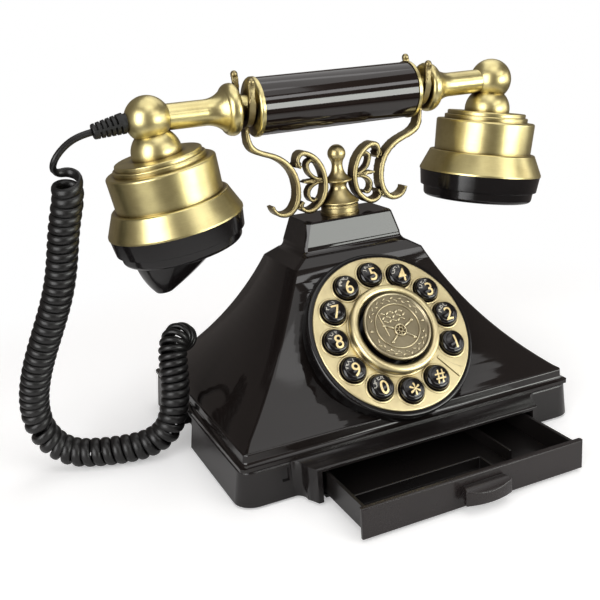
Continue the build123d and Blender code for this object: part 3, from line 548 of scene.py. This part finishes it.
def make_materials():
    """Every material by name; brass ones are told which axis their brushing runs round."""
    quarter = math.pi / 2
    cup_left = dict(origin=(-BALL_X, BASE_Y, AXIS_Z), turn=(0, -CUP_TILT, 0))
    cup_right = dict(origin=(BALL_X, BASE_Y, AXIS_Z), turn=(0, CUP_TILT, 0))
    bar = dict(origin=(0, BASE_Y, AXIS_Z), turn=(0, quarter, 0))
    column = dict(origin=(0, BASE_Y, 0))
    dial = dict(origin=tuple(DIAL_CENTRE), turn=(quarter - DIAL_ELEVATION, 0, 0))
    return {
        "brass_bar": brass("brass_bar", **bar),
        "brass_balls": brass("brass_balls", brushed=0.3, rough=0.35, **bar),
        "brass_cup_left": brass("brass_cup_left", **cup_left),
        "brass_cup_right": brass("brass_cup_right", **cup_right),
        "brass_column": brass("brass_column", brushed=0.5, rough=0.37, light=(0.62, 0.52, 0.26),
                              dark=(0.36, 0.28, 0.12), recess=0.005, **column),
        "brass_cast": brass("brass_cast", brushed=0.15, rough=0.42, light=(0.42, 0.35, 0.18),
                            dark=(0.24, 0.18, 0.08), recess=0.006, **column),
        "brass_dial": brass("brass_dial", brushed=0.8, rough=0.40, light=(0.86, 0.75, 0.44),
                            dark=(0.56, 0.46, 0.25), recess=0.0020, **dial),
        "bronze_medal": brass("bronze_medal", brushed=0.2, rough=0.36, light=(0.36, 0.31, 0.20),
                              dark=(0.24, 0.20, 0.125), recess=0.0016, **dial),
        "bronze_relief": brass("bronze_relief", brushed=0.1, rough=0.30, light=(0.62, 0.55, 0.37),
                               dark=(0.48, 0.41, 0.26), recess=0.0003, **dial),
        "gloss_housing": gloss_black("gloss_housing", (0.0066, 0.0051, 0.0047), waves=0.5),
        "gloss_dial_ring": gloss_black("gloss_dial_ring", (0.0035, 0.003, 0.003), 0.12),
        "gloss_handset": gloss_black("gloss_handset", (0.0062, 0.0036, 0.0028), 0.07, 1.62),
        "gloss_cap": gloss_black("gloss_cap", (0.0045, 0.0038, 0.0040), 0.14),
        "gloss_key": gloss_black("gloss_key", (0.0035, 0.003, 0.0032), 0.09),
        "satin_plinth": satin_plastic("satin_plinth", (0.0074, 0.0060, 0.0059), 0.21, depth=0.00002),
        "satin_drawer": satin_plastic("satin_drawer", (0.0124, 0.0096, 0.0095), 0.25, depth=0.00001),
        "satin_tray": satin_plastic("satin_tray", (0.0066, 0.0056, 0.0054), 0.27, depth=0.00002),
        "inner_plastic": satin_plastic("inner_plastic", (0.02, 0.02, 0.02), 0.45),
        "vinyl": rubber("vinyl"),
        "relief_rubber": rubber("relief_rubber", (0.005, 0.005, 0.005), 0.5),
        "foot_rubber": rubber("foot_rubber", (0.015, 0.015, 0.015), 0.7),
        "steel": steel("steel"),
        "circuit": circuit("circuit"),
        "gilt": gilt("gilt"),
        "gilt_pale": gilt("gilt_pale", (0.26, 0.25, 0.22), (0.52, 0.50, 0.44)),
    }


NODE_MATERIAL = {
    "gloss_housing": ["upper_housing"],
    "gloss_dial_ring": ["dial_housing"],
    "satin_plinth": ["plinth"],
    "satin_drawer": ["drawer_front", "drawer_pull"],
    "satin_tray": ["drawer_tray"],
    "inner_plastic": ["bottom_plate", "chassis_deck", "hook_guide", "handset_jack", "line_jack",
                      "ringer_switch_body", "ringer_switch_knob", "ringer_buzzer", "microphone_capsule",
                      "receiver_capsule"],
    "brass_column": ["cradle_collar", "cradle_column", "cradle_finial"],
    "brass_cast": ["cradle_arm_left", "cradle_arm_right"],
    "brass_bar": ["grip_caps", "handset_arms"],
    "brass_balls": ["ball_elbows", "cup_necks"],
    "brass_cup_left": ["transmitter_shell"],
    "brass_cup_right": ["receiver_shell"],
    "brass_dial": ["dial_plate", "finger_stop"],
    "bronze_medal": ["dial_medallion"],
    "gloss_key": ["medallion_seat"] + ["key_" + name for name in KEY_NAMES],
    "gloss_handset": ["grip_sleeve"],
    "gloss_cap": ["transmitter_cap", "receiver_cap", "mouth_horn"],
    "relief_rubber": ["strain_relief"],
    "vinyl": ["cord_plug", "cord_upper", "cord_coil", "cord_lower"],
    "foot_rubber": ["rubber_feet", "keypad_mat"],
    "steel": ["base_screws", "hook_plunger", "hook_spring"],
    "circuit": ["keypad_board", "main_board"],
}


def paint_nodes(materials):
    """Gives the CAD meshes their materials."""
    for name, nodes in NODE_MATERIAL.items():
        for node in nodes:
            mesh = NODES[node].data
            mesh.materials.clear()
            mesh.materials.append(materials[name])


# ------------------------------------------------------------------ keys' figures and letters
DOME_R, DOME_RISE = 0.0038, 0.00075            # the key's dome
SHOULDER_WIDE, SHOULDER_DROP = 0.0020, 0.0013  # and the rounded shoulder outside it
TEXT_EDGE = 0.0008                             # longest edge of flat text before it is laid on a dome
INK = 0.00006                                  # how far print stands off its key
LETTERS = {"2": "ABC", "3": "DEF", "4": "GHI", "5": "JKL", "6": "MNO", "7": "PRS", "8": "TUV", "9": "WXY",
           "0": "OPER"}
FIGURES = {"star": "*", "hash": "#"}


def text_mesh(words, size, bold):
    """Vertices and faces of flat text about its own middle, fine enough to lie on a dome."""
    curve = bpy.data.curves.new("text", "FONT")
    curve.body = words
    curve.size = size
    curve.offset = bold
    curve.align_x, curve.align_y = "CENTER", "CENTER"
    curve.resolution_u = 6
    holder = bpy.data.objects.new("text", curve)
    mesh = bpy.data.meshes.new_from_object(holder)
    work = bmesh.new()
    work.from_mesh(mesh)
    bmesh.ops.triangulate(work, faces=work.faces)
    for _ in range(4):
        long_edges = [e for e in work.edges if e.calc_length() > TEXT_EDGE]
        bmesh.ops.subdivide_edges(work, edges=long_edges, cuts=1)
        bmesh.ops.triangulate(work, faces=work.faces)
    verts = [v.co.copy() for v in work.verts]
    faces = [tuple(v.index for v in f.verts) for f in work.faces]
    middle = Vector((
        (min(v.x for v in verts) + max(v.x for v in verts)) / 2,
        (min(v.y for v in verts) + max(v.y for v in verts)) / 2,
        0,
    ))
    verts = [v - middle for v in verts]
    work.free()
    bpy.data.meshes.remove(mesh)
    bpy.data.objects.remove(holder)
    bpy.data.curves.remove(curve)
    return verts, faces


def key_height(r):
    """Height of a key's surface at a distance from its axis."""
    sphere = (DOME_R ** 2 + DOME_RISE ** 2) / (2 * DOME_RISE)
    if r <= DOME_R:
        return KEY_TOP - (sphere - math.sqrt(sphere ** 2 - r ** 2))
    t = min(1.0, (r - DOME_R) / SHOULDER_WIDE)
    return KEY_TOP - DOME_RISE - SHOULDER_DROP * t * t


def key_place(index):
    """A key's middle in the dial's own plane."""
    angle = KEY_FIRST + KEY_STEP * index
    return Vector((KEY_RING_R * math.cos(angle), KEY_RING_R * math.sin(angle), 0))


def lay_on_key(centre, verts, shift, turn=0.0):
    """Move flat text onto the domed key."""
    cos, sin = math.cos(turn), math.sin(turn)
    placed = []
    for v in verts:
        x = v.x * cos - v.y * sin + shift[0]
        y = v.x * sin + v.y * cos + shift[1]
        placed.append(DIAL_FRAME @ (centre + Vector((x, y, key_height(math.hypot(x, y)) + INK))))
    return placed


FIGURE_SIZE = {"star": 0.0128, "hash": 0.0088}
FIGURE_SHIFT = {"1": (0.0006, -0.0004), "star": (0.0003, -0.0004), "hash": (0.0004, -0.0003)}
USUAL_SIZE, USUAL_SHIFT, FIGURE_BOLD = 0.0090, (0.0002, -0.0009), 0.00006
LETTER_SIZE, LETTER_R, LETTER_BOLD = 0.0033, 0.0041, 0.00003
LETTER_MIDDLE, LETTER_STEP = 122, 36           # degrees round the key
FOUR_LETTERS = 0.86                            # four letters stand this much closer


def make_legend(index, figures, letters):
    """A key's figure, and its letters in an arc at the upper left."""
    name = KEY_NAMES[index]
    centre = key_place(index)
    shapes = Collector()
    verts, faces = text_mesh(FIGURES.get(name, name), FIGURE_SIZE.get(name, USUAL_SIZE), FIGURE_BOLD)
    shapes.add(lay_on_key(centre, verts, FIGURE_SHIFT.get(name, USUAL_SHIFT)), faces)
    link(shapes.object("legend_" + name), "key_" + name, figures)
    words = LETTERS.get(name, "")
    if not words:
        return
    shapes = Collector()
    closer = 1.0 if len(words) < 4 else FOUR_LETTERS
    for i, letter in enumerate(words):
        angle = math.radians(LETTER_MIDDLE - LETTER_STEP * (i - (len(words) - 1) / 2) * closer)
        verts, faces = text_mesh(letter, LETTER_SIZE, LETTER_BOLD)
        at = (LETTER_R * math.cos(angle), LETTER_R * math.sin(angle))
        shapes.add(lay_on_key(centre, verts, at, angle - math.pi / 2), faces)
    link(shapes.object("letters_" + name), "key_" + name, letters)


# ------------------------------------------------------------------ dial details
RIM_IN, RIM_OUT, RIM_HIGH = 0.00622, 0.00735, 0.00042
RIM_ROOT = -0.0004                             # the rim starts inside the plate


def make_key_rims(material):
    """A low rolled rim round each key's hole."""
    shapes = Collector()
    middle, half = (RIM_IN + RIM_OUT) / 2, (RIM_OUT - RIM_IN) / 2
    profile = []
    for i in range(9):
        a = math.pi * i / 8
        profile.append((middle - half * math.cos(a), RIM_HIGH * math.sin(a)))
    profile = [(RIM_IN, RIM_ROOT)] + profile + [(RIM_OUT, RIM_ROOT)]
    for index in range(len(KEY_NAMES)):
        verts, faces = turned(profile, 48, DIAL_FRAME @ Matrix.Translation(key_place(index)))
        shapes.add(verts, faces)
    link(shapes.object("key_rims"), "base", material)


def relief_bar(shapes, start, end, wide, high, base, taper=1.0):
    """Rounded low bar from start to end in the dial's own plane."""
    start, end = Vector(start), Vector(end)
    along = end - start
    side = Vector((-along.y, along.x)).normalized()
    verts = []
    rows, across = 7, 5
    for i in range(rows):
        t = i / (rows - 1)
        swell = math.sin(math.pi * min(1.0, max(0.0, 0.12 + 0.76 * t))) ** 0.5
        width = wide * swell * (1 + (taper - 1) * t)
        mid = start + along * t
        for j in range(across):
            a = math.pi * j / (across - 1)
            p = mid + side * (width / 2 * math.cos(a))
            verts.append(DIAL_FRAME @ Vector((p.x, p.y, base + high * swell * math.sin(a))))
    faces = []
    for i in range(rows - 1):
        for j in range(across - 1):
            k = i * across + j
            faces.append((k, k + 1, k + across + 1, k + across))
    shapes.add(verts, faces)


def relief_dome(shapes, x, y, radius, high, base):
    """Low stud."""
    verts = [DIAL_FRAME @ Vector((x, y, base + high))]
    faces = []
    rings, around = 3, 12
    for i in range(1, rings + 1):
        a = math.pi / 2 * i / rings
        for j in range(around):
            b = 2 * math.pi * j / around
            verts.append(DIAL_FRAME @ Vector((
                x + radius * math.sin(a) * math.cos(b), y + radius * math.sin(a) * math.sin(b),
                base + high * math.cos(a))))
    for j in range(around):
        faces.append((0, 1 + j, 1 + (j + 1) % around))
    for i in range(rings - 1):
        for j in range(around):
            k = (j + 1) % around
            a = 1 + i * around
            faces.append((a + j, a + around + j, a + around + k, a + k))
    shapes.add(verts, faces)


MEDAL_FACE = 0.0064
MEDAL_EDGE_R, MEDAL_BAND_R, MEDAL_INNER_R = 0.0159, 0.0134, 0.0109
LEAVES, LEAF_STEP = 17, 8.4                    # in each half of the wreath; degrees between them
LEAF_LEAN, LEAF_OFF = 0.45, 0.0006             # radians from the ring's direction; metres off its line
HUB = (0.0006, -0.0022)                        # the wheel's middle
BAR_ENDS = [(0.0058, -0.0048), (0.0072, 0.0036)]       # of the crossed bars, about the hub
# Left end, right end and height of the pennant's rows.
PENNANT_ROWS = [(-0.0062, 0.0052, 0.0070), (-0.0068, 0.0064, 0.0050), (-0.0058, 0.0050, 0.0030)]
PENNANT_STROKES, STROKE_HALF, STROKE_RISE = 5, 0.0009, 0.0006


def relief_ring(shapes, x, y, radius, wide, high):
    """Rounded ring standing on the medallion's face."""
    profile = [(radius - wide / 2, MEDAL_FACE - 0.0001)]
    for i in range(7):
        a = math.pi * i / 6
        profile.append((radius - wide / 2 * math.cos(a), MEDAL_FACE + high * math.sin(a)))
    profile.append((radius + wide / 2, MEDAL_FACE - 0.0001))
    shapes.add(*turned(profile, 96, DIAL_FRAME @ Matrix.Translation((x, y, 0))))


def make_medal_relief(material):
    """Generic relief: wreath and studs between rings, round a wheel on crossed bars with a pennant."""
    shapes = Collector()
    relief_ring(shapes, 0, 0, MEDAL_EDGE_R, 0.0010, 0.0006)
    relief_ring(shapes, 0, 0, MEDAL_INNER_R, 0.0007, 0.0006)
    for side in (-1, 1):
        relief_dome(shapes, side * MEDAL_BAND_R, 0.0, 0.0008, 0.0006, MEDAL_FACE)
    for half in (1, -1):
        for i in range(LEAVES):
            angle = half * (math.pi / 2 + math.radians(LEAF_STEP) * (i - LEAVES // 2))
            outer = 1 if i % 2 else -1
            lean = LEAF_LEAN * outer
            reach = MEDAL_BAND_R + LEAF_OFF * outer
            stem = Vector((reach * math.cos(angle), reach * math.sin(angle)))
            along = Vector((math.cos(angle + math.pi / 2 + lean), math.sin(angle + math.pi / 2 + lean)))
            start, end = stem - along * 0.0009, stem + along * 0.0010
            relief_bar(shapes, start, end, 0.0010, 0.0005, MEDAL_FACE, 0.5)
    hub = Vector(HUB)
    relief_ring(shapes, hub.x, hub.y, 0.0027, 0.0009, 0.0008)
    relief_ring(shapes, hub.x, hub.y, 0.0010, 0.0006, 0.0009)
    for i in range(8):
        spoke = Vector((math.cos(math.pi / 4 * i), math.sin(math.pi / 4 * i)))
        relief_bar(shapes, hub + spoke * 0.0009, hub + spoke * 0.0025, 0.0005, 0.0006, MEDAL_FACE)
    for side in (-1, 1):
        for across, up in BAR_ENDS:
            reach = Vector((side * across, up))
            tip = hub + reach
            relief_bar(shapes, hub + reach * 0.4, tip, 0.0013, 0.0008, MEDAL_FACE, 0.6)
            relief_dome(shapes, tip.x, tip.y, 0.0009, 0.0008, MEDAL_FACE)
    for row, (left, right, y) in enumerate(PENNANT_ROWS):
        for i in range(PENNANT_STROKES):
            x = left + (right - left) * (i + 0.5) / PENNANT_STROKES
            rise = STROKE_RISE * (1 if (i + row) % 2 else -1)
            start, end = (x - STROKE_HALF, y - rise), (x + STROKE_HALF, y + rise)
            relief_bar(shapes, start, end, 0.0012, 0.0006, MEDAL_FACE, 0.7)
    relief_bar(shapes, (-0.0074, 0.0074), (-0.0058, -0.0040), 0.0007, 0.0006, MEDAL_FACE, 0.8)
    link(shapes.object("medal_relief"), "base", material)


# Painted shadow strip beside the finger stop's lower edge: its ends and half-widths in the dial's own
# plane.
SHADOW_STRIP_START, SHADOW_STRIP_END = (0.0173, -0.0178), (0.0246, -0.0286)
SHADOW_STRIP_HALF_START, SHADOW_STRIP_HALF_END = 0.00022, 0.00034
SHADOW_STRIP_LEVELS = (0.00004, 0.00012)               # over the plate's face


def make_stop_shadow_strip(material):
    """Painted shadow: a dark strip laid just over the plate's face beside the finger stop, standing in for
    the shade under the stop's lower edge.
    """
    start, end = Vector(SHADOW_STRIP_START), Vector(SHADOW_STRIP_END)
    side = Vector((end.y - start.y, start.x - end.x)).normalized()
    corners = [start - side * SHADOW_STRIP_HALF_START, start + side * SHADOW_STRIP_HALF_START,
               end + side * SHADOW_STRIP_HALF_END, end - side * SHADOW_STRIP_HALF_END]
    verts = [DIAL_FRAME @ Vector((corner.x, corner.y, z)) for z in SHADOW_STRIP_LEVELS for corner in corners]
    faces = [(0, 1, 2, 3), (7, 6, 5, 4)] + [(i, (i + 1) % 4, (i + 1) % 4 + 4, i + 4) for i in range(4)]
    shadow_strip = mesh_object("painted_stop_shadow", verts, faces)
    tidy_normals(shadow_strip)
    link(shadow_strip, "base", material, smooth=False)


# ------------------------------------------------------------------ cast and moulded edges
SOFT_EDGES = {"drawer_front": 0.0006, "drawer_tray": 0.0004, "finger_stop": 0.0002, "upper_housing": 0.0006,
              "drawer_pull": 0.0004, "plinth": 0.0007}
CAST_ROUND = 0.00075
WELD = 0.00001


def soften_edges():
    """Small rounds on the moulded parts' edges."""
    for node, width in SOFT_EDGES.items():
        obj = NODES[node]
        weld = obj.modifiers.new("weld", "WELD")
        weld.merge_threshold = WELD
        bevel = obj.modifiers.new("soft_edge", "BEVEL")
        bevel.width = width
        bevel.segments = 2
        bevel.limit_method = "ANGLE"
        bevel.angle_limit = math.radians(40)
        bevel.use_clamp_overlap = True
        bevel.harden_normals = True


def face_edge(edge):
    """True where a strip's front or back face meets its side, away from sharp corners of its outline."""
    if len(edge.link_faces) != 2:
        return False
    flat = [abs(face.normal.y) > 0.99 for face in edge.link_faces]
    if flat[0] == flat[1] or edge.calc_face_angle() < math.radians(60):
        return False
    for other in (other for vert in edge.verts for other in vert.link_edges):
        on_side = len(other.link_faces) == 2 and all(abs(face.normal.y) <= 0.9 for face in other.link_faces)
        if other != edge and on_side and other.calc_face_angle() > math.radians(24):
            return False
    return True


def make_soft_arm(node, material):
    """The cast arm with the edges of its strips rounded over."""
    source = NODES[node]
    mesh = bmesh.new()
    mesh.from_mesh(source.data)
    bmesh.ops.transform(mesh, matrix=source.matrix_world, verts=mesh.verts)
    bmesh.ops.remove_doubles(mesh, verts=mesh.verts, dist=WELD)
    mesh.normal_update()
    edges = [edge for edge in mesh.edges if face_edge(edge)]
    bmesh.ops.bevel(mesh, geom=edges, offset=CAST_ROUND, segments=2, profile=0.5, affect="EDGES",
                    clamp_overlap=False)
    data = bpy.data.meshes.new(node + "_cast")
    mesh.to_mesh(data)
    mesh.free()
    arm = bpy.data.objects.new(node + "_cast", data)
    link(arm, "cradle", material)
    data.set_sharp_from_angle(angle=math.radians(38))
    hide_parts(node)


# ------------------------------------------------------------------ studio
FLOOR_GLOW = 0.34              # the floor's own light near the telephone, for the camera only
FLOOR_R, FADE_R = 0.34, 0.21   # its rim, and where it starts to turn into the background
PANEL_FAR, PANEL_AIM = 1.35, 0.09              # how far off the panels stand, and the height they face
ROOM = (0.140, 0.125, 0.117, 1)                # what lies between the panels, in reflections


def panel(name, azimuth, elevation, half_wide, half_high, radiance, colour=(1, 1, 1)):
    """Softbox facing the telephone; azimuth from the front towards the right, all angles in degrees."""
    middle = spot(0, 0, PANEL_AIM)
    azimuth, elevation = math.radians(azimuth), math.radians(elevation)
    flat = math.cos(elevation)
    out = Vector((math.sin(azimuth) * flat, -math.cos(azimuth) * flat, math.sin(elevation)))
    data = bpy.data.lights.new(name, "AREA")
    data.shape = "RECTANGLE"
    data.size = 2 * PANEL_FAR * math.tan(math.radians(half_wide))
    data.size_y = 2 * PANEL_FAR * math.tan(math.radians(half_high))
    data.energy = radiance * math.pi * data.size * data.size_y
    data.color = colour
    light = bpy.data.objects.new(name, data)
    light.location = middle + out * PANEL_FAR
    light.rotation_mode = "QUATERNION"
    light.rotation_quaternion = (-out).to_track_quat("-Z", "Y")
    bpy.context.scene.collection.objects.link(light)


def make_floor():
    """A round pale sheet that fades to plain white at its rim, so that no edge or horizon shows."""
    shader = Shader("pale_floor", Roughness=1.0, IOR=1.3, Specular_IOR_Level=0.0)
    shader.bsdf.inputs["Emission Color"].default_value = (1, 1, 1, 1)
    place = shader.node("ShaderNodeMapping", {"Vector": shader.place(), "Location": (0, -BASE_Y, 0)})
    r, _, _ = radial(shader, place.outputs[0])
    away = shader.node("ShaderNodeMapRange", {"Value": r, "From Min": FADE_R, "From Max": FLOOR_R - 0.01},
                       interpolation_type="SMOOTHSTEP").outputs[0]
    clouds = shader.noise(shader.place(), 3.0, detail=2.0)
    paper = shader.mix(clouds, (0.90, 0.90, 0.90), (0.93, 0.93, 0.93))
    shader.to("Base Color", shader.mix(away, paper, (0.0, 0.0, 0.0)))
    glow = shader.node("ShaderNodeMapRange", {"Value": away, "To Min": FLOOR_GLOW, "To Max": 1.0})
    seen = shader.node("ShaderNodeLightPath").outputs["Is Camera Ray"]
    shader.to("Emission Strength", shader.math("MULTIPLY", glow.outputs[0], seen))
    around = 96
    verts = [Vector((0, BASE_Y, 0))]
    for j in range(around):
        a = 2 * math.pi * j / around
        verts.append(Vector((FLOOR_R * math.cos(a), BASE_Y + FLOOR_R * math.sin(a), 0)))
    faces = [(0, 1 + j, 1 + (j + 1) % around) for j in range(around)]
    floor = mesh_object("floor", verts, faces)
    floor.data.materials.append(shader.material)
    bpy.context.scene.collection.objects.link(floor)


def make_studio():
    """White surroundings to the eye, a dim warm room in reflections, and softboxes."""
    world = bpy.data.worlds.new("studio")
    bpy.context.scene.world = world
    world.use_nodes = True
    tree = world.node_tree
    back = tree.nodes["Background"]
    seen = tree.nodes.new("ShaderNodeLightPath")
    shade = tree.nodes.new("ShaderNodeMix")
    shade.data_type = "RGBA"
    shade.inputs[6].default_value = ROOM
    shade.inputs[7].default_value = (1, 1, 1, 1)
    tree.links.new(seen.outputs["Is Camera Ray"], shade.inputs[0])
    tree.links.new(shade.outputs[2], back.inputs["Color"])
    panel("softbox_left", -58, 13, 17, 24, 4.4)
    panel("softbox_front", 5, 56, 20, 13, 0.9)
    panel("softbox_right", 34, 2, 18, 10, 7.9, (0.97, 1.0, 0.95))
    panel("softbox_upper", 30, 31, 20, 5, 3.2)
    panel("softbox_side", 68, 5, 12, 14, 2.2)
    panel("softbox_top", 40, 84, 27, 27, 1.05)
    panel("reflector_back", 135, 52, 20, 18, 0.9)
    bpy.context.scene.view_settings.view_transform = "Standard"


# ------------------------------------------------------------------ making
make_camera()
MATERIALS = make_materials()
make_cord(MATERIALS["vinyl"])
paint_nodes(MATERIALS)
soften_edges()
for arm_name in ("cradle_arm_left", "cradle_arm_right"):
    make_soft_arm(arm_name, MATERIALS["brass_cast"])
for number in range(len(KEY_NAMES)):
    make_legend(number, MATERIALS["gilt"], MATERIALS["gilt_pale"])
make_key_rims(MATERIALS["brass_dial"])
make_medal_relief(MATERIALS["bronze_relief"])
# painted shadow strip under the finger stop's lower edge
make_stop_shadow_strip(MATERIALS["gloss_key"])
make_floor()
make_studio()
